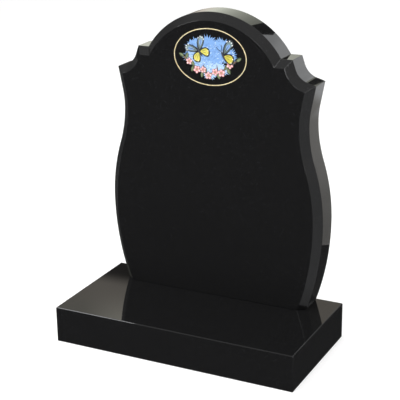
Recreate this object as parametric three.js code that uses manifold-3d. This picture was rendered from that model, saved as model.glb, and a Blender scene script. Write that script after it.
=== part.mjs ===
// A polished granite lawn headstone on its base slab.
// Millimetres, +Z up, the front faces -Y. The origin is the middle of the base's underside.
// Two separate stones: the upright headstone and the low base that it stands on.

import * as THREE from 'three';
import { mergeVertices } from 'three/addons/utils/BufferGeometryUtils.js';
import Module from 'manifold-3d';

// Base slab
const BASE_WIDTH = 610;
const BASE_DEPTH = 310;
const BASE_HEIGHT = 88;
const BASE_ARRIS = 1.5; // the small bevel on the slab's top edges

// Headstone: its thickness and place on the base
const STONE_THICKNESS = 75;
const STONE_CHAMFER = 17.5; // the wide 45 degree edge round the front face
const STONE_BACK_MARGIN = 10; // from the stone's back to the base's back edge
const BED_JOINT = 0.3; // clearance between the two stones

// Headstone: its outline, widths across and each height as a rise above the one before
const FOOT_WIDTH = 480;
const BELLY_WIDTH = 551;
const BELLY_RISE = 211; // from the foot
const WAIST_WIDTH = 476;
const WAIST_RISE = 236;
const BELLY_SHARE = 0.6; // the convex share of the curve from belly to waist
const SHOULDER_WIDTH = 505;
const SHOULDER_RISE = 93; // from the waist to the shoulders' tips
const FLARE_EASE = 19; // the bend above the waist reaches this far to either side of its corner
const HOLLOW_WIDTH = 420; // where the steep and the shallow flat below the ledge would meet
const HOLLOW_RISE = 12.5;
const HOLLOW_EASE = 23; // the round between those two flats reaches this far along each
const LEDGE_RISE = 42;
const LEDGE_RUN = 27.5; // the level step at the foot of the arch
const ARCH_RADIUS = 198;
const ARCH_RISE = 93.5; // from the ledges to the top of the arch

// How finely the curves are cut into flats, and how far the rough block passes a sawn face
const SIDE_STEPS = 24;
const BEND_STEPS = 16;
const ARCH_STEPS = 80;
const SAW_ALLOWANCE = 40;
const SAME_POINT = 0.001;

// Polished black granite
const graniteFinish = { color: 0x101012, roughness: 0.06, metalness: 0 };

// An arc that is upright at `upright` and passes through `end`, as points from the first to the
// last. Its centre lies level with the upright point.
function bow(upright, end, steps) {
  const across = end.x - upright.x;
  const along = end.y - upright.y;
  const radius = (across * across + along * along) / (2 * Math.abs(across));
  const centre = new THREE.Vector2(upright.x + Math.sign(across) * radius, upright.y);
  return roundStretch(centre, upright, end, steps);
}

// The shorter arc about a centre from one point to another, as points.
function roundStretch(centre, start, end, steps) {
  const first = start.clone().sub(centre).angle();
  const last = end.clone().sub(centre).angle();
  const turn = Math.atan2(Math.sin(last - first), Math.cos(last - first));
  const arc = new THREE.EllipseCurve(
    centre.x, centre.y,
    centre.distanceTo(start), centre.distanceTo(start),
    first, first + turn, turn < 0,
  );
  return arc.getPoints(steps);
}

// The arc that rounds a corner between two straight lines, starting and ending `ease` from it.
function easedCorner(before, corner, after, ease, steps) {
  const back = before.clone().sub(corner).normalize();
  const on = after.clone().sub(corner).normalize();
  const halfAngle = Math.acos(back.dot(on)) / 2;
  const start = corner.clone().addScaledVector(back, ease);
  const end = corner.clone().addScaledVector(on, ease);
  const middle = back.clone().add(on).normalize();
  const centre = corner.clone().addScaledVector(middle, ease / Math.cos(halfAngle));
  return roundStretch(centre, start, end, steps);
}

// The right half of the headstone's outline, from below its foot up to the top of the arch.
function rightHalf() {
  const foot = new THREE.Vector2(FOOT_WIDTH / 2, 0);
  const belly = new THREE.Vector2(BELLY_WIDTH / 2, foot.y + BELLY_RISE);
  const lowerSide = bow(belly, foot, SIDE_STEPS).reverse();
  const belowFoot = foot.clone().sub(lowerSide[1]).setLength(SAW_ALLOWANCE).add(foot);
  const waist = new THREE.Vector2(WAIST_WIDTH / 2, belly.y + WAIST_RISE);
  const turnOver = belly.clone().lerp(waist, BELLY_SHARE);
  const tip = new THREE.Vector2(SHOULDER_WIDTH / 2, waist.y + SHOULDER_RISE);
  const flare = new THREE.Vector2(waist.x, waist.y + FLARE_EASE);
  const hollow = new THREE.Vector2(HOLLOW_WIDTH / 2, tip.y + HOLLOW_RISE);
  const ledgeHeight = hollow.y + LEDGE_RISE;

  const archTop = new THREE.Vector2(0, ledgeHeight + ARCH_RISE);
  const archCentre = new THREE.Vector2(0, archTop.y - ARCH_RADIUS);
  const centreDrop = ARCH_RADIUS - ARCH_RISE;
  const archFoot = new THREE.Vector2(Math.sqrt(ARCH_RADIUS ** 2 - centreDrop ** 2), ledgeHeight);
  const ledgeTip = new THREE.Vector2(archFoot.x + LEDGE_RUN, ledgeHeight);

  // The two bows turn by equal angles, so the flats on either side of the turn-over lie in one
  // line. That point is left out, because a bevel finds no clear direction at it.
  return joined([
    [belowFoot],
    lowerSide.slice(1),
    bow(belly, turnOver, SIDE_STEPS).slice(0, -1),
    bow(waist, turnOver, SIDE_STEPS).reverse().slice(1),
    easedCorner(waist, flare, tip, FLARE_EASE, BEND_STEPS),
    [tip],
    easedCorner(tip, hollow, ledgeTip, HOLLOW_EASE, BEND_STEPS),
    [ledgeTip],
    roundStretch(archCentre, archFoot, archTop, ARCH_STEPS / 2),
  ]);
}

// Stretches end to end as one list, each end that two of them share kept once.
function joined(stretches) {
  const points = stretches.flat();
  return points.filter((point, i) => i === 0 || point.distanceTo(points[i - 1]) > SAME_POINT);
}

// The whole outline: the right half and its mirror image on the left.
function stoneOutline() {
  const right = rightHalf();
  const left = right
    .slice(0, -1)
    .reverse()
    .map((point) => new THREE.Vector2(-point.x, point.y));
  return new THREE.Shape([...right, ...left]);
}

function baseOutline() {
  const x = BASE_WIDTH / 2;
  const y = BASE_DEPTH / 2;
  const corners = [[-x, -y], [x, -y], [x, y], [-x, y]];
  return new THREE.Shape(corners.map(([px, py]) => new THREE.Vector2(px, py)));
}

// A rough block of an outline, from below z = 0 up to the face at `thickness`, whose edges all
// round have a 45 degree bevel.
function bevelledBlock(outline, thickness, bevel) {
  const block = new THREE.ExtrudeGeometry(outline, {
    depth: SAW_ALLOWANCE + thickness - bevel,
    bevelThickness: bevel,
    bevelSize: bevel,
    bevelOffset: -bevel,
    bevelSegments: 1,
  });
  return block.translate(0, 0, -SAW_ALLOWANCE);
}

const wasm = await Module();
wasm.setup();

// A closed mesh as a solid that can be cut.
function solidOf(geometry) {
  const bare = geometry.clone();
  bare.deleteAttribute('normal');
  bare.deleteAttribute('uv');
  const merged = mergeVertices(bare);
  const vertProperties = new Float32Array(merged.attributes.position.array);
  const triVerts = new Uint32Array(merged.index.array);
  return new wasm.Manifold(new wasm.Mesh({ numProp: 3, vertProperties, triVerts }));
}

// What remains of a block above a level plane at z = 0, which makes its flat sawn face.
function sawnLevel(block) {
  block.computeBoundingBox();
  const { min, max } = block.boundingBox;
  const waste = new THREE.BoxGeometry(
    max.x - min.x + SAW_ALLOWANCE,
    max.y - min.y + SAW_ALLOWANCE,
    SAW_ALLOWANCE - min.z,
  );
  waste.translate(
    (max.x + min.x) / 2,
    (max.y + min.y) / 2,
    -(SAW_ALLOWANCE - min.z) / 2,
  );
  const { vertProperties, triVerts } = solidOf(block).subtract(solidOf(waste)).getMesh();
  const geometry = new THREE.BufferGeometry();
  geometry.setAttribute('position', new THREE.BufferAttribute(vertProperties, 3));
  geometry.setIndex(new THREE.BufferAttribute(triVerts, 1));
  geometry.computeVertexNormals();
  return geometry;
}

function stoneMesh(name, geometry) {
  const mesh = new THREE.Mesh(geometry, new THREE.MeshStandardMaterial(graniteFinish));
  mesh.name = name;
  return mesh;
}

// The base: a slab with its underside sawn flat and an arris on the top edges.
function makeBase() {
  const slab = sawnLevel(bevelledBlock(baseOutline(), BASE_HEIGHT, BASE_ARRIS));
  return stoneMesh('base', slab);
}

// The headstone: the outline in the thickness of the stone with the back sawn flat, then turned
// upright so that its chamfered face looks forwards, and its foot sawn level.
function makeHeadstone() {
  const lying = sawnLevel(bevelledBlock(stoneOutline(), STONE_THICKNESS, STONE_CHAMFER));
  const upright = sawnLevel(lying.rotateX(Math.PI / 2));
  const headstone = stoneMesh('headstone', upright);
  headstone.position.y = BASE_DEPTH / 2 - STONE_BACK_MARGIN;
  headstone.position.z = BASE_HEIGHT + BED_JOINT;
  return headstone;
}

const memorial = new THREE.Group();
memorial.add(makeBase(), makeHeadstone());

export default memorial;
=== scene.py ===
# %% [markdown]
# # A polished granite headstone with a painted oval
#
# The real object is two blocks of black granite: an upright stone with a chamfered, curved
# outline, and the low slab that it stands on. Every face has a mirror polish. High on the
# front a gold line rings an oval picture in enamel.
#
# The two blocks come in as a fixed frame at their real size. This notebook gives them their
# polish, adds the gold and the paint, and lights them the way a photographer lights
# something black and shiny: by choosing what it mirrors.

# %% Load the frame
import itertools
import math
import random

import bmesh
import bpy
from mathutils import Matrix, Vector


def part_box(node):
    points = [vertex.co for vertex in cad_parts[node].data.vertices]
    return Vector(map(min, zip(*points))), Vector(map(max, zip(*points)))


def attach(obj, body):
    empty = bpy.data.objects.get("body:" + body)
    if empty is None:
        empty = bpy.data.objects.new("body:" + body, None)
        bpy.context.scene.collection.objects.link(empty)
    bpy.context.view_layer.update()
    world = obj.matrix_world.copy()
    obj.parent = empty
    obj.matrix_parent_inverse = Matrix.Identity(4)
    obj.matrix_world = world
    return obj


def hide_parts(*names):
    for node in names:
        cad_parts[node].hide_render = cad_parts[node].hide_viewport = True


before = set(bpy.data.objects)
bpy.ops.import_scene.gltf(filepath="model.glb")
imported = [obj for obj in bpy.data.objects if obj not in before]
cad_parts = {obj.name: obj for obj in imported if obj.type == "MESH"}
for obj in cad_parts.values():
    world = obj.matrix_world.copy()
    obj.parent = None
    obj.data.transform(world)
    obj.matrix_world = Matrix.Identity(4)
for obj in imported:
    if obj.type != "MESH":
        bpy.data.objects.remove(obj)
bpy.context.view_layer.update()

stone_low, stone_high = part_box("headstone")
base_low, base_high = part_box("base")
MM = 0.001
print("headstone", [round(v, 4) for v in stone_high - stone_low], "m")
print("base", [round(v, 4) for v in base_high - base_low], "m")

# %% [markdown]
# ## Camera
#
# The camera looks at the memorial from its right and a little above. Its place is given by
# an aim point on the stone, two angles and a distance, because those are what one would
# measure on the spot. A long lens keeps the upright edges nearly parallel.

# %% Place the camera
CAMERA_AIM = Vector((0.011, -0.011, 0.359))
CAMERA_DISTANCE = 2.775
CAMERA_AZIMUTH = math.radians(26.81)
CAMERA_ELEVATION = math.radians(19.41)
CAMERA_ROLL = math.radians(-0.762)
CAMERA_LENS = 108.62
SENSOR_WIDTH = 36


def camera_matrix(aim, distance, azimuth, elevation, roll):
    """A camera's place, from the point it looks at and the direction it looks from."""
    away = Vector((
        math.sin(azimuth) * math.cos(elevation),
        -math.cos(azimuth) * math.cos(elevation),
        math.sin(elevation),
    ))
    level = Vector((math.cos(azimuth), math.sin(azimuth), 0))
    right = level * math.cos(roll) + away.cross(level) * math.sin(roll)
    turn = Matrix((right, away.cross(right), away)).transposed()
    return Matrix.Translation(aim + distance * away) @ turn.to_4x4()


lens = bpy.data.cameras.new("camera")
lens.lens = CAMERA_LENS
lens.sensor_width = SENSOR_WIDTH
camera = bpy.data.objects.new("camera", lens)
camera.matrix_world = camera_matrix(
    CAMERA_AIM, CAMERA_DISTANCE, CAMERA_AZIMUTH, CAMERA_ELEVATION, CAMERA_ROLL
)
bpy.context.scene.collection.objects.link(camera)
bpy.context.scene.camera = camera
print("camera at", [round(v, 3) for v in camera.matrix_world.translation])

# %% [markdown]
# ## Shader maths as plain expressions
#
# A finish is a small graph of nodes. Written out node by node it is hard to read, so one
# class wraps a socket and lets ordinary arithmetic add the Math nodes. Everything else goes
# through one method, `node`, which takes a node's type, its settings and its inputs.


# %% A wire between nodes
class Wire:
    """An output socket. Arithmetic on it adds nodes, and `node` adds any other node."""

    def __init__(self, tree, socket=None):
        self.tree = tree
        self.socket = socket

    def node(self, kind, settings=None, inputs=None, output=0):
        """Adds a node, its settings first, then values or wires for its inputs."""
        node = self.tree.nodes.new(kind)
        for name, value in (settings or {}).items():
            setattr(node, name, value)
        for name, value in (inputs or {}).items():
            if isinstance(value, Wire):
                self.tree.links.new(value.socket, node.inputs[name])
            else:
                node.inputs[name].default_value = value
        return Wire(self.tree, node.outputs[output] if node.outputs else None)

    def math(self, operation, first, second=0.0):
        return self.node("ShaderNodeMath", {"operation": operation}, {0: first, 1: second})

    def __add__(self, other):
        return self.math("ADD", self, other)

    def __sub__(self, other):
        return self.math("SUBTRACT", self, other)

    def __rsub__(self, other):
        return self.math("SUBTRACT", other, self)

    def __mul__(self, other):
        return self.math("MULTIPLY", self, other)

    def __gt__(self, other):
        return self.math("GREATER_THAN", self, other)

    __radd__ = __add__
    __rmul__ = __mul__

    def between(self, low, high):
        """0 below `low`, 1 above `high`, and a smooth rise from one to the other."""
        settings = {"interpolation_type": "SMOOTHSTEP"}
        return self.node("ShaderNodeMapRange", settings, {"Value": self, 1: low, 2: high})

    def tint(self, first, second):
        """A colour that goes from `first` to `second` as this wire goes from 0 to 1."""
        settings = {"data_type": "RGBA"}
        return self.node("ShaderNodeMix", settings, {0: self, 6: first, 7: second}, output=2)

    def bump(self, strength, depth):
        """The normal of a surface that rises by `depth` as this wire goes from 0 to 1."""
        inputs = {"Strength": strength, "Distance": depth, "Height": self}
        return self.node("ShaderNodeBump", {}, inputs)


# %% Open and close a finish
def new_finish(name):
    """An empty material and a wire to start drawing its nodes from."""
    material = bpy.data.materials.new(name)
    material.use_nodes = True
    material.node_tree.nodes.clear()
    return material, Wire(material.node_tree)


def surface(start, inputs):
    """Ends a finish with the surface shader that these inputs describe."""
    shader = start.node("ShaderNodeBsdfPrincipled", {}, inputs)
    start.node("ShaderNodeOutputMaterial", {}, {"Surface": shader})


def grey(value):
    return (value, value, value, 1)


# %% [markdown]
# ## Polished black granite
#
# Black granite is a packed mass of crystals a millimetre or so across. Most are almost
# black and some are dark grey. About one in a hundred is given a paler colour, a painted
# glint that stands in for a crystal catching the light. Under the polish each crystal is
# flat, so the surface is a mirror over that dark, faintly speckled body.
# Voronoi cells are crystals of just that kind: each cell has one random colour, which is
# read as three random numbers. The first picks the mineral, and the second says how well it
# took the polish.

# %% Granite
CRYSTAL_SIZE = 1.3 * MM
CLOUD_SIZE = 45 * MM
GREY_SHARE = 0.22
PAINTED_GLINT_SHARE = 0.008
DARK_BODY = (0.005, 0.005, 0.0052, 1)
GREY_BODY = (0.0085, 0.0085, 0.009, 1)
PAINTED_GLINT_BODY = (0.018, 0.019, 0.021, 1)
POLISH_ROUGHNESS = 0.02
ROUGHNESS_SPREAD = 0.02
GRANITE_IOR = 1.5
SOFT_DETAIL = 3


def granite():
    material, start = new_finish("polished_black_granite")
    place = start.node("ShaderNodeTexCoord", output="Object")
    crystals = place.node(
        "ShaderNodeTexVoronoi", {}, {"Vector": place, "Scale": 1 / CRYSTAL_SIZE}, output="Color"
    )
    mineral = crystals.node("ShaderNodeSeparateColor", {}, {0: crystals}, output=0)
    hardness = crystals.node("ShaderNodeSeparateColor", {}, {0: crystals}, output=1)
    clouds = place.node(
        "ShaderNodeTexNoise", {},
        {"Vector": place, "Scale": 1 / CLOUD_SIZE, "Detail": SOFT_DETAIL},
    )
    grey_crystal = (mineral + (clouds - 0.5) * GREY_SHARE) > 1 - GREY_SHARE
    body = grey_crystal.tint(DARK_BODY, GREY_BODY)
    # Painted glints: the rarest crystals get a paler colour in place of light caught in them.
    body = (mineral > 1 - PAINTED_GLINT_SHARE).tint(body, PAINTED_GLINT_BODY)
    surface(start, {
        "Base Color": body,
        "Roughness": POLISH_ROUGHNESS + hardness * ROUGHNESS_SPREAD,
        "IOR": GRANITE_IOR,
    })
    return material


granite_finish = granite()
print("granite:", len(granite_finish.node_tree.nodes), "nodes")

# %% [markdown]
# ## Stones with eased edges
#
# A mason never leaves a polished edge knife sharp: each one is eased by about half a
# millimetre, which shows as a thin line of light. The frame's solids have sharp edges, so
# each stone gets a copy with a small bevel on every edge that turns by more than 20 degrees.
# The headstone's long curves are many narrow flats, and weighted normals shade them as one
# smooth sweep. The base has no curves, so every face of it is shaded flat.

# %% Ease the stones' edges
EASE_WIDTH = 0.6 * MM
EASE_STEPS = 4
SHARP_TURN = math.radians(20)
FLAT_TURN = math.radians(0.1)
SAME_POINT = 0.001 * MM


def clean_mesh(source, name):
    """A copy of a mesh with its shared points welded and its flat faces made whole."""
    mesh = source.copy()
    mesh.name = name
    bm = bmesh.new()
    bm.from_mesh(mesh)
    bmesh.ops.remove_doubles(bm, verts=bm.verts, dist=SAME_POINT)
    bmesh.ops.dissolve_limit(bm, angle_limit=FLAT_TURN, verts=bm.verts, edges=bm.edges)
    bm.to_mesh(mesh)
    bm.free()
    mesh.materials.clear()
    return mesh


def apply_modifiers(piece):
    """Makes a piece's own mesh what the render shows."""
    graph = bpy.context.evaluated_depsgraph_get()
    mesh = bpy.data.meshes.new_from_object(piece.evaluated_get(graph))
    piece.modifiers.clear()
    piece.data = mesh


def eased_stone(node, name, curved):
    """A stone's eased copy. A curved one is shaded smoothly along its outline."""
    mesh = clean_mesh(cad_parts[node].data, name)
    if curved:
        mesh.shade_smooth()
    else:
        mesh.shade_flat()
    piece = bpy.data.objects.new(name, mesh)
    bpy.context.scene.collection.objects.link(piece)
    easing = piece.modifiers.new("eased edges", "BEVEL")
    easing.width = EASE_WIDTH
    easing.segments = EASE_STEPS
    easing.limit_method = "ANGLE"
    easing.angle_limit = SHARP_TURN
    # Clamped, the bevel would be held back by the narrow flats of the curves.
    easing.use_clamp_overlap = False
    if curved:
        piece.modifiers.new("smooth along the curves", "WEIGHTED_NORMAL")
    apply_modifiers(piece)
    piece.data.materials.append(granite_finish)
    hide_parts(node)
    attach(piece, "root")
    print(name, len(mesh.polygons), "faces, eased", len(piece.data.polygons))


eased_stone("headstone", "headstone_polished", curved=True)
eased_stone("base", "base_polished", curved=False)

# %% [markdown]
# ## Thin plates of colour
#
# The gold and the paint lie on the polished face with almost no thickness. Each touch of
# colour is a closed plate, cut from a flat outline. A painter works from the back of the
# picture to the front, and so does this notebook: every new plate stands a thousandth of a
# millimetre further out than the last, so that no two fronts share a plane. Outlines are
# lists of complex numbers, in millimetres from the oval's middle: adding one moves a shape,
# and multiplying by one turns and scales it.

# %% Plates on the stone's face
OVAL_HEIGHT = 0.6755
OVAL_CENTRE = Vector((0, stone_low.y, OVAL_HEIGHT))
PLATE_ROOT = 0.1
FIRST_COAT = 0.05
COAT = 0.001
coats = itertools.count()
print("oval centre at", [round(v, 4) for v in OVAL_CENTRE])


def on_face(point, height):
    """A point of the oval's plane, `height` millimetres proud of the polished face."""
    return OVAL_CENTRE + Vector((point.real, -height, point.imag)) * MM


def touch(bm, outline, colour):
    """Lays one closed plate of paint, a little further out than all before it."""
    height = FIRST_COAT + COAT * next(coats)
    front = [bm.verts.new(on_face(p, height)) for p in outline]
    back = [bm.verts.new(on_face(p, -PLATE_ROOT)) for p in outline]
    faces = [bm.faces.new(front), bm.faces.new(back[::-1])]
    for i in range(len(outline)):
        faces.append(bm.faces.new((front[i - 1], back[i - 1], back[i], front[i])))
    for face in faces:
        face.material_index = colour


def as_piece(name, bm, slot, *materials):
    """Turns a bmesh into a piece of the memorial that rides on it."""
    bmesh.ops.recalc_face_normals(bm, faces=bm.faces)
    mesh = bpy.data.meshes.new(name)
    bm.to_mesh(mesh)
    bm.free()
    for material in materials:
        mesh.materials.append(material)
    piece = bpy.data.objects.new(name, mesh)
    bpy.context.scene.collection.objects.link(piece)
    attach(piece, "root")
    print(name, len(mesh.polygons), "faces")


# %% Outlines for the brush
STROKE_STEPS = 7
STROKE_FULLNESS = 0.7
OVAL_STEPS = 20
LOOP_STEPS = 5


def turned(degrees):
    """The complex number that turns a shape by that many degrees, anticlockwise."""
    return complex(math.cos(math.radians(degrees)), math.sin(math.radians(degrees)))


def stroke(start, end, width, bend=0.0):
    """A pointed brush stroke between two points, bowed sideways by `bend` of its length."""
    along = end - start
    across = along / abs(along) * 1j
    spine = [
        (i / STROKE_STEPS, start + along * i / STROKE_STEPS) for i in range(STROKE_STEPS + 1)
    ]
    spine = [(t, p + across * bend * abs(along) * math.sin(math.pi * t)) for t, p in spine]
    half = [width / 2 * math.sin(math.pi * t) ** STROKE_FULLNESS for t, _ in spine]
    upper = [p + across * h for (_, p), h in zip(spine, half)]
    lower = [p - across * h for (_, p), h in zip(spine, half)]
    return lower + upper[-2:0:-1]


def oval(centre, width, height, turn=0.0):
    """An ellipse, turned by that many degrees."""
    angles = [2 * math.pi * i / OVAL_STEPS for i in range(OVAL_STEPS)]
    rim = [complex(width / 2 * math.cos(a), height / 2 * math.sin(a)) for a in angles]
    return [centre + p * turned(turn) for p in rim]


def smooth_loop(points):
    """A closed curve that runs smoothly through a few points."""
    loop = []
    for i in range(len(points)):
        a, b, c, d = (points[(i + k - 1) % len(points)] for k in range(4))
        for step in range(LOOP_STEPS):
            t = step / LOOP_STEPS
            loop.append(
                b + (c - a) * t / 2 + (2 * a - 5 * b + 4 * c - d) * t ** 2 / 2
                + (3 * b - a - 3 * c + d) * t ** 3 / 2
            )
    return loop


print("a stroke has", len(stroke(0j, 1 + 0j, 1)), "corners, an oval has", OVAL_STEPS)

# %% [markdown]
# ## Gold ring
#
# A line of gold leaf on size runs round the picture. Burnished leaf is never even, so its
# colour drifts between pale and deep gold and its sheen between bright and dull. Leaf over
# size has lost most of its metal gloss, so it is only partly metallic: on a fully metallic
# line the dark surroundings would show as black.

# %% Gold leaf
PALE_GOLD = (0.76, 0.66, 0.42, 1)
DEEP_GOLD = (0.58, 0.47, 0.25, 1)
LEAF_PATCH = 6 * MM
LEAF_DETAIL = 4
LEAF_GRAIN = LEAF_PATCH / 4
LEAF_GRAIN_STRENGTH = 0.3
LEAF_GRAIN_DEPTH = 0.2 * MM
LEAF_WEAR = (0.35, 0.65)
LEAF_METAL = 0.2
BRIGHT_ROUGHNESS = 0.38
DULL_ROUGHNESS = 0.58


def gold_leaf():
    material, start = new_finish("gold_leaf")
    place = start.node("ShaderNodeTexCoord", output="Object")
    patches = place.node(
        "ShaderNodeTexNoise", {},
        {"Vector": place, "Scale": 1 / LEAF_PATCH, "Detail": LEAF_DETAIL},
    )
    wear = patches.between(*LEAF_WEAR)
    grain = place.node("ShaderNodeTexNoise", {}, {"Vector": place, "Scale": 1 / LEAF_GRAIN})
    surface(start, {
        "Base Color": wear.tint(PALE_GOLD, DEEP_GOLD),
        "Metallic": LEAF_METAL,
        "Roughness": BRIGHT_ROUGHNESS + wear * (DULL_ROUGHNESS - BRIGHT_ROUGHNESS),
        "Normal": grain.bump(LEAF_GRAIN_STRENGTH, LEAF_GRAIN_DEPTH),
    })
    return material


gold_finish = gold_leaf()
print("gold leaf:", len(gold_finish.node_tree.nodes), "nodes")

# %% The ring
RING_HALF_WIDTH = 90.8
RING_HALF_HEIGHT = 65.3
RING_LINE = 2.3
RING_RISE = 0.4
RING_STEPS = 160
RING_SECTION = [(-0.5, -0.25), (-0.46, 0.6), (-0.25, 1), (0.25, 1), (0.46, 0.6), (0.5, -0.25)]


def gold_ring():
    """A low, crowned band of even width that follows an ellipse."""
    bm = bmesh.new()
    rows = []
    for i in range(RING_STEPS):
        angle = 2 * math.pi * i / RING_STEPS
        point = complex(RING_HALF_WIDTH * math.cos(angle), RING_HALF_HEIGHT * math.sin(angle))
        out = complex(RING_HALF_HEIGHT * math.cos(angle), RING_HALF_WIDTH * math.sin(angle))
        out /= abs(out)
        rows.append([
            bm.verts.new(on_face(point + out * across * RING_LINE, rise * RING_RISE))
            for across, rise in RING_SECTION
        ])
    for i in range(RING_STEPS):
        for j in range(len(RING_SECTION)):
            bm.faces.new((rows[i - 1][j - 1], rows[i - 1][j], rows[i][j], rows[i][j - 1]))
    for face in bm.faces:
        face.smooth = True
    as_piece("gold_ring", bm, "gold_line", gold_finish)


gold_ring()

# %% [markdown]
# ## Enamel colours
#
# The picture is painted in thin enamel. A brush load is never one flat colour, and each
# stroke differs a little from the next. `Random Per Island` gives every separate plate its
# own number, which picks its shade, and a fine noise mottles it.

# %% Enamel
MOTTLE_SIZE = 2.5 * MM
MOTTLE_SPAN = (0.3, 0.7)
MOTTLE_SHARE = 0.4
MOTTLE_STRENGTH = 0.4
MOTTLE_DEPTH = 0.1 * MM
ENAMEL_ROUGHNESS = 0.42
ROUGHNESS_DROP = 0.1


def enamel(name, first, second):
    """A paint whose strokes differ in shade, from one colour to the other."""
    material, start = new_finish(name)
    place = start.node("ShaderNodeTexCoord", output="Object")
    mottle = place.node(
        "ShaderNodeTexNoise", {},
        {"Vector": place, "Scale": 1 / MOTTLE_SIZE, "Detail": SOFT_DETAIL},
    )
    which = place.node("ShaderNodeNewGeometry", output="Random Per Island")
    shade = which * (1 - MOTTLE_SHARE) + mottle.between(*MOTTLE_SPAN) * MOTTLE_SHARE
    surface(start, {
        "Base Color": shade.tint((*first, 1), (*second, 1)),
        "Roughness": ENAMEL_ROUGHNESS - mottle * ROUGHNESS_DROP,
        "Normal": mottle.bump(MOTTLE_STRENGTH, MOTTLE_DEPTH),
    })
    return material


# %% [markdown]
# ## Sky
#
# Behind the picture lies a patch of sky with a ragged brushed edge, deeper blue above and
# paler below. It is a few overlapping toothed patches, and short slanting strokes over them
# carry the lighter and darker blues. Every random draw comes from one seeded source, so
# each run paints the same sky.

# %% Paint the sky
SKY_BLUE, LOW_BLUE, DEEP_BLUE, PALE_BLUE = range(4)
SKY_PATCHES = [  # middle, half width, half height and which blue
    (-34 + 20j, 27, 22, SKY_BLUE),
    (-6 + 27j, 30, 20, SKY_BLUE),
    (30 + 25j, 26, 19, SKY_BLUE),
    (47 + 6j, 20, 19, SKY_BLUE),
    (-44 - 2j, 22, 17, LOW_BLUE),
    (4 + 2j, 40, 22, SKY_BLUE),
    (-16 - 22j, 30, 15, LOW_BLUE),
    (20 - 26j, 26, 15, LOW_BLUE),
    (0 - 38j, 19, 12, LOW_BLUE),
]
TOOTH_LENGTH = 4.6
TOOTH_SLIP = 0.45
LONG_REACH = (0.86, 1.3)
SHORT_REACH = (0.7, 0.88)
SKY_STROKES = 420
STROKE_REACH = 0.95
SLANT = 32
SLANT_SPREAD = 35
HALF_LENGTHS = (1.2, 3.6)
STROKE_WIDTHS = (0.9, 1.9)
DEEP_ABOVE = (-60, 45)  # a stroke is deep blue where it lies higher than a draw from these
chance = random.Random(11)


def toothed(middle, half_width, half_height):
    """An outline of long and short teeth in turn, each of a random length."""
    teeth = round(math.pi * (half_width + half_height) / TOOTH_LENGTH)
    outline = []
    for i in range(2 * teeth):
        angle = math.pi * (i + chance.uniform(-TOOTH_SLIP, TOOTH_SLIP)) / teeth
        reach = chance.uniform(*(LONG_REACH if i % 2 else SHORT_REACH))
        outline.append(middle + reach * complex(
            half_width * math.cos(angle), half_height * math.sin(angle)
        ))
    return outline


def paint_sky():
    bm = bmesh.new()
    for middle, half_width, half_height, blue in SKY_PATCHES:
        touch(bm, toothed(middle, half_width, half_height), blue)
    for _ in range(SKY_STROKES):
        middle, half_width, half_height, _ = chance.choice(SKY_PATCHES)
        angle = chance.uniform(0, 2 * math.pi)
        reach = math.sqrt(chance.uniform(0, STROKE_REACH))
        at = middle + reach * complex(
            half_width * math.cos(angle), half_height * math.sin(angle)
        )
        slant = SLANT + chance.uniform(-SLANT_SPREAD, SLANT_SPREAD)
        half = turned(slant) * chance.uniform(*HALF_LENGTHS)
        blue = DEEP_BLUE if chance.uniform(*DEEP_ABOVE) < at.imag else PALE_BLUE
        touch(bm, stroke(at - half, at + half, chance.uniform(*STROKE_WIDTHS)), blue)
    as_piece(
        "painted_sky", bm, "picture_enamel",
        enamel("sky_blue", (0.12, 0.26, 0.56), (0.22, 0.4, 0.72)),
        enamel("low_sky_blue", (0.26, 0.43, 0.72), (0.42, 0.6, 0.86)),
        enamel("deep_sky_blue", (0.07, 0.17, 0.42), (0.16, 0.31, 0.62)),
        enamel("pale_sky_blue", (0.36, 0.53, 0.8), (0.66, 0.78, 0.92)),
    )


paint_sky()

# %% [markdown]
# ## Garland
#
# Below the middle hangs a garland: a thin brown stem in a shallow crescent, with leaves and
# pink blossoms. A blossom is five petals, each a few plates from dark edge to pale middle,
# round a small golden eye. One function makes a blossom and one a leaf, and the garland
# places them along the crescent.

# %% The stem
DARK_BARK, LIGHT_BARK = range(2)
STEM_HALF_SPAN = 66
STEM_TIP_HEIGHT = -4
STEM_SAG = 34
STEM_LINE = 4.6
STEM_STROKES = 16
DARK_SPAN = (-0.3, 1.3)  # where a stroke starts and ends, counted in strokes
LIGHT_SPAN = (0, 0.9)
LINE_SPREAD = (0.8, 1.1)
LIGHT_LIFT = 0.5j
LIGHT_SHARE = 0.45
TWIGS = [(-0.72, 112), (-0.3, 70), (0.34, 104), (0.76, 66)]  # place on the stem, and lean
TWIG_LENGTH = 19
TWIG_LINE = 2.4
TWIG_BEND = 0.08


def on_stem(t):
    """A point of the stem, with t from -1 at the left tip to 1 at the right."""
    return complex(STEM_HALF_SPAN * t, STEM_TIP_HEIGHT - STEM_SAG * math.cos(t * math.pi / 2))


def paint_stem():
    """Twigs first, then dark strokes that overlap, then shorter light ones along the top."""
    bm = bmesh.new()
    for t, lean in TWIGS:
        tip = on_stem(t) + TWIG_LENGTH * turned(lean)
        touch(bm, stroke(on_stem(t), tip, TWIG_LINE, TWIG_BEND), DARK_BARK)
    for i in range(STEM_STROKES):
        start, end = (on_stem(2 * (i + k) / STEM_STROKES - 1) for k in DARK_SPAN)
        touch(bm, stroke(start, end, STEM_LINE * chance.uniform(*LINE_SPREAD)), DARK_BARK)
    for i in range(STEM_STROKES):
        start, end = (on_stem(2 * (i + k) / STEM_STROKES - 1) + LIGHT_LIFT for k in LIGHT_SPAN)
        touch(bm, stroke(start, end, STEM_LINE * LIGHT_SHARE), LIGHT_BARK)
    as_piece(
        "painted_stem", bm, "picture_enamel",
        enamel("bark_brown", (0.07, 0.045, 0.03), (0.15, 0.09, 0.06)),
        enamel("bark_light", (0.2, 0.13, 0.09), (0.36, 0.26, 0.19)),
    )


paint_stem()


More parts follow.
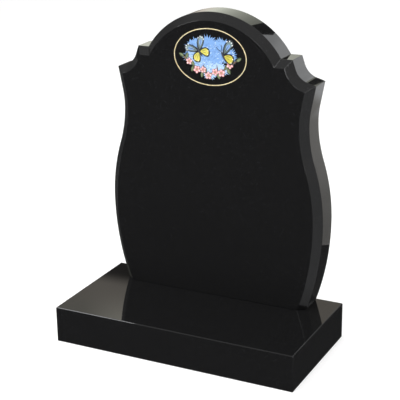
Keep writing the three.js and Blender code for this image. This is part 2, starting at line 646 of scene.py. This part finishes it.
# %% Leaves
LEAVES = [  # place on the stem, direction and length
    (-1.0, 150, 15), (-0.92, 74, 16), (-0.6, 128, 17), (-0.62, -112, 16), (-0.28, -100, 15),
    (-0.14, 112, 16), (0.12, 58, 15), (0.3, -72, 16), (0.56, 52, 17), (0.66, -60, 16),
    (0.9, 112, 15), (1.0, 34, 16),
]
LEAF_SHADOW, LEAF_GREEN, LEAF_LIGHT, LEAF_VEIN = range(4)
# All of these are shares of a leaf's length.
LEAF_WIDTH = 0.56
HALF_START = 0.08
HALF_END = 0.92
HALF_OFFSET = 0.11
HALF_WIDTH = 0.21
HALF_BEND = 0.06
VEIN_END = 0.85
VEIN_WIDTH = 0.045


def add_leaf(bm, foot, turn, length):
    """A pointed leaf: dark outline, two halves of different green, and a light vein."""
    ahead = turned(turn) * length
    aside = turned(turn + 90) * length
    touch(bm, stroke(foot, foot + ahead, length * LEAF_WIDTH), LEAF_SHADOW)
    for side, green in ((1, LEAF_GREEN), (-1, LEAF_LIGHT)):
        start = foot + HALF_START * ahead + side * HALF_OFFSET * aside
        end = foot + HALF_END * ahead
        touch(bm, stroke(start, end, length * HALF_WIDTH, side * HALF_BEND), green)
    touch(bm, stroke(foot, foot + VEIN_END * ahead, length * VEIN_WIDTH), LEAF_VEIN)


def paint_leaves():
    bm = bmesh.new()
    for t, turn, length in LEAVES:
        add_leaf(bm, on_stem(t), turn, length)
    as_piece(
        "painted_leaves", bm, "picture_enamel",
        enamel("leaf_shadow", (0.012, 0.018, 0.008), (0.02, 0.03, 0.012)),
        enamel("leaf_green", (0.05, 0.08, 0.035), (0.1, 0.14, 0.06)),
        enamel("leaf_light_green", (0.11, 0.16, 0.08), (0.2, 0.25, 0.12)),
        enamel("leaf_vein", (0.3, 0.32, 0.17), (0.4, 0.4, 0.24)),
    )


paint_leaves()


# %% Blossoms
BLOSSOMS = [  # place on the stem, height over it, size and turn
    (-0.8, 1, 8.6, 12), (-0.5, -3, 9.6, 50), (-0.26, 5, 8.2, 30), (-0.06, -5, 9.4, 18),
    (0.2, 3, 9.0, 66), (0.44, -4, 9.8, 22), (0.76, 2, 8.8, 60),
]
PETALS = 5
PETAL_EDGE, PETAL_PINK, PETAL_PALE, PETAL_VEIN, BLOSSOM_EYE = range(5)
PETAL_COATS = {  # distance out, length and width, as shares of the blossom's size
    PETAL_EDGE: (0.56, 0.92, 0.8),
    PETAL_PINK: (0.57, 0.78, 0.66),
    PETAL_PALE: (0.66, 0.44, 0.42),
}
CREASE_END = 0.5
CREASE_WIDTH = 0.14
EYE_WIDTH = 0.34


def petal_coat(bm, centre, size, way, colour):
    """One coat of one petal, an ellipse that points away from the blossom's middle."""
    out, length, width = PETAL_COATS[colour]
    middle = centre + turned(way) * size * out
    touch(bm, oval(middle, size * length, size * width, way), colour)


def add_blossom(bm, centre, size, turn):
    """Five rounded petals round an eye, all their dark edges first."""
    ways = [turn + 360 / PETALS * i for i in range(PETALS)]
    for way in ways:
        petal_coat(bm, centre, size, way, PETAL_EDGE)
    for way in ways:
        petal_coat(bm, centre, size, way, PETAL_PINK)
        petal_coat(bm, centre, size, way, PETAL_PALE)
        end = centre + turned(way) * size * CREASE_END
        touch(bm, stroke(centre, end, size * CREASE_WIDTH), PETAL_VEIN)
    touch(bm, oval(centre, size * EYE_WIDTH, size * EYE_WIDTH), BLOSSOM_EYE)


def paint_blossoms():
    bm = bmesh.new()
    for t, lift, size, turn in BLOSSOMS:
        add_blossom(bm, on_stem(t) + lift * 1j, size, turn)
    as_piece(
        "painted_blossoms", bm, "picture_enamel",
        enamel("petal_edge", (0.05, 0.018, 0.02), (0.09, 0.03, 0.03)),
        enamel("petal_pink", (0.66, 0.25, 0.28), (0.8, 0.38, 0.4)),
        enamel("petal_pale", (0.82, 0.5, 0.5), (0.9, 0.68, 0.66)),
        enamel("petal_vein", (0.34, 0.1, 0.08), (0.42, 0.15, 0.1)),
        enamel("blossom_eye", (0.36, 0.32, 0.12), (0.5, 0.42, 0.18)),
    )


paint_blossoms()

# %% [markdown]
# ## Butterflies
#
# A butterfly with open wings rests on the left of the sky, and one with its wings folded up
# on the right. A wing is built as a painter would: a dark shape first, then the colour a
# little smaller on top, so that a dark border is left all round, then white spots in the
# border. The left wing is the right one mirrored, which is a complex conjugate. A butterfly's
# size and turn are one complex number, because multiplying by it does both.

# %% A butterfly's wing
OUTLINE, SLATE, YELLOW, WHITE, WING_BLUE, BODY = range(6)
FORE_WING = [
    0, 0.08 + 0.36j, 0.34 + 0.78j, 0.76 + 1.0j, 1.0 + 0.9j, 0.94 + 0.6j, 0.7 + 0.34j, 0.36 + 0.1j,
]
HIND_WING = [
    0, 0.34 + 0.06j, 0.68 - 0.04j, 0.82 - 0.3j, 0.72 - 0.6j, 0.46 - 0.76j, 0.24 - 0.6j, 0.08 - 0.3j,
]
HIND_FIELD = 0.76  # how large the coloured field is, as a share of the wing
FORE_FIELD = 0.78
FORE_INNER_FIELD = 0.4
HIND_VEINS = [-64, -42, -20]  # directions in degrees
FORE_VEINS = [32, 46, 60]
HIND_SPOTS = [-50, -28, -8]
FORE_SPOTS = [(34, 1.06), (42, 1.16), (51, 1.18), (60, 1.06)]  # direction and distance out


def shrunk(outline, share):
    """The same outline, smaller about its own middle."""
    middle = sum(outline) / len(outline)
    return [middle + (p - middle) * share for p in outline]


def add_wing(bm, place):
    """One side's hind and fore wing; `place` puts a point of the wing in the picture."""

    def put(outline, colour):
        touch(bm, [place(p) for p in outline], colour)

    hind, fore = smooth_loop(HIND_WING), smooth_loop(FORE_WING)
    put(hind, OUTLINE)
    put(shrunk(hind, HIND_FIELD), YELLOW)
    for way in HIND_VEINS:
        put(stroke(0.2 * turned(way), 0.66 * turned(way), 0.035), OUTLINE)
    for way in HIND_SPOTS:
        put(oval(0.8 * turned(way), 0.09, 0.07, way), WHITE)
    put(fore, OUTLINE)
    put(shrunk(fore, FORE_FIELD), SLATE)
    put(shrunk(fore, FORE_INNER_FIELD), WING_BLUE)
    for way in FORE_VEINS:
        put(stroke(0j, turned(way), 0.04), OUTLINE)
    for way, reach in FORE_SPOTS:
        put(oval(reach * turned(way), 0.11, 0.08, way), WHITE)


print("a fore wing has", len(smooth_loop(FORE_WING)), "corners")

# %% Both butterflies
BODY_STROKE = (-0.5j, 0.34j, 0.16)  # start, end and width
FEELER_START = 0.3j
FEELER_END = 0.22 + 0.74j
FEELER_WIDTH = 0.035
FEELER_BEND = 0.1
OPEN_MIDDLE = -27 + 12j
OPEN_FACING = 29 * turned(34)
FOLDED_MIDDLE = 33 + 7j
FOLDED_FACING = 32 * turned(12)
FOLDED_BODY_TURN = turned(14)


def add_body(bm, place):
    """A slim body over the wings, and two feelers."""
    touch(bm, [place(p) for p in stroke(*BODY_STROKE)], BODY)
    for side in (-1, 1):
        end = complex(side * FEELER_END.real, FEELER_END.imag)
        feeler = stroke(FEELER_START, end, FEELER_WIDTH, -FEELER_BEND * side)
        touch(bm, [place(p) for p in feeler], OUTLINE)


def paint_butterflies():
    bm = bmesh.new()
    add_wing(bm, lambda p: OPEN_MIDDLE - p.conjugate() * OPEN_FACING)
    add_wing(bm, lambda p: OPEN_MIDDLE + p * OPEN_FACING)
    add_body(bm, lambda p: OPEN_MIDDLE + p * OPEN_FACING)
    add_wing(bm, lambda p: FOLDED_MIDDLE + p * FOLDED_FACING)
    add_body(bm, lambda p: FOLDED_MIDDLE + p * FOLDED_FACING * FOLDED_BODY_TURN)
    as_piece(
        "painted_butterflies", bm, "picture_enamel",
        enamel("wing_outline", (0.008, 0.009, 0.012), (0.014, 0.015, 0.02)),
        enamel("wing_slate", (0.14, 0.21, 0.22), (0.24, 0.32, 0.32)),
        enamel("wing_yellow", (0.5, 0.45, 0.04), (0.66, 0.6, 0.12)),
        enamel("wing_white", (0.8, 0.82, 0.84), (0.9, 0.9, 0.88)),
        enamel("wing_blue", (0.14, 0.27, 0.58), (0.26, 0.42, 0.74)),
        enamel("body_dark", (0.03, 0.035, 0.05), (0.06, 0.065, 0.08)),
    )


paint_butterflies()
print("coats of paint:", next(coats))

# %% [markdown]
# ## Floor and soft light
#
# The floor is a plain pale sheet. It glows faintly of its own, as a lit table does, so that
# the memorial's shadow stays soft. Three broad lamps light the paint. Neither the floor nor
# the lamps are seen in the polish: a mirror finish shows whatever stands round it, and that
# is set separately below.

# %% Floor
FLOOR_REACH = (-15, 15)
FLOOR_DROP = 0.2 * MM
FLOOR_GREY = 0.5
FLOOR_ROUGHNESS = 0.9
FLOOR_GLOW = 0.62


def flat_card(name, corners, material):
    """A flat sheet that belongs to the studio, not to the memorial."""
    mesh = bpy.data.meshes.new(name)
    mesh.from_pydata(corners, [], [range(len(corners))])
    mesh.materials.append(material)
    card = bpy.data.objects.new(name, mesh)
    bpy.context.scene.collection.objects.link(card)
    return card


def level_corners(x, y, z):
    """Corners of a level sheet, from its range of x and of y."""
    return [(x[0], y[0], z), (x[1], y[0], z), (x[1], y[1], z), (x[0], y[1], z)]


def floor_finish():
    material, start = new_finish("pale_floor")
    surface(start, {
        "Base Color": grey(FLOOR_GREY),
        "Roughness": FLOOR_ROUGHNESS,
        "Emission Color": grey(1),
        "Emission Strength": FLOOR_GLOW,
    })
    return material


floor = flat_card("floor", level_corners(FLOOR_REACH, FLOOR_REACH, -FLOOR_DROP), floor_finish())
floor.visible_glossy = False
print("floor", FLOOR_REACH[1] - FLOOR_REACH[0], "m wide")

# %% Lamps
LAMPS = {  # place, width and power
    "overhead": ((-0.6, -0.8, 3.2), 2.2, 60),
    "front_left": ((-2.4, -2.6, 1.8), 1.6, 45),
    "front_right": ((2.6, -2.2, 2.0), 1.6, 35),
}


def soft_lamp(name, place, size, power):
    """A round lamp that lights the memorial but isn't mirrored in it."""
    lamp = bpy.data.lights.new(name, "AREA")
    lamp.shape = "DISK"
    lamp.size = size
    lamp.energy = power
    holder = bpy.data.objects.new(name, lamp)
    holder.location = place
    holder.rotation_euler = (CAMERA_AIM - Vector(place)).to_track_quat("-Z", "Y").to_euler()
    holder.visible_glossy = False
    bpy.context.scene.collection.objects.link(holder)


for name, (place, size, power) in LAMPS.items():
    soft_lamp(name, place, size, power)
print("lamps:", ", ".join(LAMPS))

# %% [markdown]
# ## What the polish mirrors
#
# A black mirror is drawn by its surroundings. Each face of the stone looks in its own
# direction: the front at the dark floor before it, the chamfers at the ceiling and the
# floor beside it, the arch and the shoulders at the wall behind. So the studio has panels
# that only the polish can see. A panel's light is worked out from its place in the room,
# because a lamp never lights a wall evenly.

# %% Panels that only the polish sees
LAMP_WARM = (1.0, 0.915, 0.8, 1)
LAMP_SOFT = (1.0, 0.975, 0.93, 1)
LAMP_PALE = (0.97, 1.0, 0.86, 1)
LAMP_COOL = (0.97, 0.985, 1.0, 1)


def glow(name, strength, colour):
    """A finish that only gives light, worked out by functions of its x, y and z."""
    material, start = new_finish(name)
    place = start.node("ShaderNodeTexCoord", output="Object")
    x, y, z = (place.node("ShaderNodeSeparateXYZ", {}, {0: place}, output=axis) for axis in "XYZ")
    light = place.node(
        "ShaderNodeVectorMath", {"operation": "SCALE"},
        {0: colour(x, y, z), "Scale": strength(x, y, z)},
    )
    surface(start, {
        "Base Color": grey(0),
        "Specular IOR Level": 0,
        "Emission Color": light,
        "Emission Strength": 1,
    })
    return material


def evenly(value):
    """The same strength everywhere on a panel."""
    return lambda x, y, z: value


def cool(x, y, z):
    """The same colour everywhere, as the three numbers of a vector."""
    return LAMP_COOL[:3]


def panel(name, corners, strength, colour=cool):
    """A sheet of light that is hidden from everything but reflections."""
    card = flat_card(name, corners, glow(name + "_glow", strength, colour))
    card.visible_camera = False
    card.visible_diffuse = False
    card.visible_transmission = False
    card.visible_shadow = False
    print("panel", name)


def upright_corners(x, y, z):
    """Corners of an upright sheet that faces the memorial, from its range of x and of z."""
    return [(x[0], y, z[0]), (x[1], y, z[0]), (x[1], y, z[1]), (x[0], y, z[1])]


# %% [markdown]
# ## The wall behind
#
# The wall is two panels side by side. Its light is a sum of smooth steps: `between` is
# given two places on the wall in metres, and the number before it says how much the light
# changes from the first to the second.

# %% The left half of the wall
WALL_Y = 1.3
WALL_HEIGHTS = (0, 2.6)
WALL_REACH = 2.4
WALL_JOINT = 0.12
UPPER_EDGE = (0.72, 1.05)


def left_wall_strength(x, y, z):
    """Dim below, and above it brighter the further it is to the left."""
    dark_corner = (1 - z.between(0.68, 0.74)) * (1 - x.between(-0.8, -0.5))
    band = x.between(-0.95, -0.8) * (1 - x.between(-0.5, -0.3))
    low = (0.55 + 0.35 * band) * (1 - 0.9 * dark_corner)
    high = 0.8 - 1.1 * x
    return low + z.between(*UPPER_EDGE) * x.between(-1.2, -0.92) * (high - low)


def left_wall_colour(x, y, z):
    return z.between(*UPPER_EDGE).tint(LAMP_WARM, LAMP_PALE)


panel(
    "left_wall", upright_corners((-WALL_REACH, WALL_JOINT), WALL_Y, WALL_HEIGHTS),
    left_wall_strength, left_wall_colour,
)


# %% The right half of the wall
def right_wall_strength(x, y, z):
    """Dim below with one lit patch, bright above a slanting edge, and duller near the top."""
    low = 0.52 + 0.3 * z.between(0, 0.36)
    low = low * (1 - 0.6 * x.between(0.865, 0.91)) * (1 - 0.68 * z.between(0.45, 0.62))
    patch_width = 1 - x.between(0.53, 0.68)
    patch = 0.5 * patch_width * z.between(0.09, 0.145) * (1 - z.between(0.5, 0.7))
    far_end = x.between(0.78, 0.86) * z.between(0.85, 0.95)
    high = 1.62 - 0.39 * z.between(1.12, 1.26) + 1.5 * far_end
    shade = (1 - x.between(0.4, 0.5)) * (1 - z.between(0.88, 1.0))
    above = (z - 1.2 * x).between(-0.235, -0.205) * (1 - shade)
    return low + patch + above * (high - low - patch)


def right_wall_colour(x, y, z):
    """Cool in the lit patch and high on the wall, and softer elsewhere."""
    in_patch = (1 - x.between(0.53, 0.68)) * z.between(0.09, 0.14)
    return (in_patch + z.between(0.4, 0.72) * (1 - in_patch)).tint(LAMP_SOFT, LAMP_COOL)


panel(
    "right_wall", upright_corners((WALL_JOINT, WALL_REACH), WALL_Y, WALL_HEIGHTS),
    right_wall_strength, right_wall_colour,
)

# %% [markdown]
# ## Black cards and lamp boxes
#
# A photographer hangs black cards where a mirror should stay dark. Three hang on the wall,
# and give the arch and the ledges their black stretches. Lit stretches of floor and four
# lamp boxes do the opposite: they draw the light lines and the grey faces. The lit floor on
# the right stops short of the base, because the strip beside it lies in the base's shade.

# %% Black cards on the wall
CARD_GAP = 0.01
CARD_GLOW = 0.035
BLACK_CARDS = {  # x and z of their corners
    "tip": [(-0.03, 1.1), (0.06, 1.1), (0.022, 1.176), (-0.03, 1.176)],
    "arch": [(0.122, 1.25), (0.334, 1.25), (0.163, 1.4), (-0.028, 1.4)],
    "ledge": [(-0.06, 1.215), (0.1, 1.215), (0.1, 1.275), (-0.06, 1.275)],
}
for name, corners in BLACK_CARDS.items():
    panel(
        name + "_black_card", [(x, WALL_Y - CARD_GAP, z) for x, z in corners],
        evenly(CARD_GLOW),
    )

# %% Lit floor behind the memorial
CARD_LIFT = 1 * MM
LIT_FLOOR_WIDTH = (-1.3, 1.3)
LIT_FLOOR_NEAR = 0.63


def lit_floor_strength(x, y, z):
    """Brighter further off, where the lamps reach the floor."""
    return 0.34 + 0.2 * y.between(0.6, 1.4)


def lit_floor_colour(x, y, z):
    return x.between(0, 0.4).tint(LAMP_WARM, LAMP_SOFT)


panel(
    "lit_floor_behind", level_corners(LIT_FLOOR_WIDTH, (LIT_FLOOR_NEAR, WALL_Y), CARD_LIFT),
    lit_floor_strength, lit_floor_colour,
)

# %% Evenly lit floor and lamp boxes
RIGHT_FLOOR_CORNERS = [(0.36, -0.03), (0.36, -5), (60, -60), (60, 0.06), (0.4, 0.06)]  # x, y
BOX_HEIGHT = 2.0
FRONT_BOX_Y = -3
FRONT_BOX_CORNERS = [(0.54, 0.1), (1.5, 0.1), (1.5, 1.62), (0.54, 0.96)]  # x and z
EVEN_PANELS = {  # corners and strength
    "lit_floor_right": ([(x, y, CARD_LIFT) for x, y in RIGHT_FLOOR_CORNERS], 0.54),
    "dim_floor_left": (level_corners((-6, -0.36), (0, 4), CARD_LIFT), 0.08),
    "lit_floor_front_left": (level_corners((-6, -0.9), (-0.95, -0.1), CARD_LIFT), 1.4),
    "left_lamp_box": (level_corners((-2.2, -1.21), (-1.3, -0.6), BOX_HEIGHT), 8.5),
    "right_lamp_box": (level_corners((1.92, 2.5), (-0.78, -0.32), BOX_HEIGHT), 9),
    "front_lamp_box": ([(x, FRONT_BOX_Y, z) for x, z in FRONT_BOX_CORNERS], 16),
    "small_lamp_box": (level_corners((0.5, 1.1), (-1.25, -0.75), BOX_HEIGHT), 8),
}
for name, (corners, strength) in EVEN_PANELS.items():
    panel(name, corners, evenly(strength))

# %% [markdown]
# ## The room beyond
#
# Past the panels the polish sees a dim ceiling and a dark floor, with a soft change at the
# horizon. On the right the lit floor runs out to the horizon, so there the ceiling keeps its
# full light all the way down. The camera sees plain white instead, and a soft fill comes
# from all round. A world shader can answer each kind of ray in its own way with the Light
# Path node. Its x, y and z are the parts of a direction, each from -1 to 1.

# %% World
CEILING_GLOW = 0.57
CEILING_FADE = 0.38
DARK_FLOOR_GLOW = 0.04
FRONT_FLOOR_GLOW = 0.045
FILL_GLOW = 0.7
HORIZON_BLUR = 0.05


def studio_world():
    """A room that looks one way to the camera, another to the polish, and lights the rest."""
    world = bpy.data.worlds.new("studio")
    world.use_nodes = True
    world.node_tree.nodes.clear()
    start = Wire(world.node_tree)
    way = start.node("ShaderNodeTexCoord", output="Generated")
    x, y, z = (way.node("ShaderNodeSeparateXYZ", {}, {0: way}, output=axis) for axis in "XYZ")
    ceiling = CEILING_GLOW - CEILING_FADE * (1 - x.between(-1, -0.6))
    floor_glow = DARK_FLOOR_GLOW + FRONT_FLOOR_GLOW * (1 - y.between(-0.8, -0.3))
    blur_above = HORIZON_BLUR - HORIZON_BLUR * x.between(0.2, 0.6)
    is_ceiling = (z + HORIZON_BLUR).between(0, blur_above + HORIZON_BLUR)
    mirrored = floor_glow + is_ceiling * (ceiling - floor_glow)
    is_seen = start.node("ShaderNodeLightPath", output="Is Camera Ray")
    is_mirrored = start.node("ShaderNodeLightPath", output="Is Glossy Ray")
    glow = FILL_GLOW + is_seen * (1 - FILL_GLOW) + is_mirrored * (mirrored - FILL_GLOW)
    light = start.node("ShaderNodeBackground", {}, {"Color": grey(1), "Strength": glow})
    start.node("ShaderNodeOutputWorld", {}, {"Surface": light})
    return world


bpy.context.scene.world = studio_world()
bpy.context.scene.view_settings.view_transform = "Standard"
print("world:", len(bpy.context.scene.world.node_tree.nodes), "nodes")
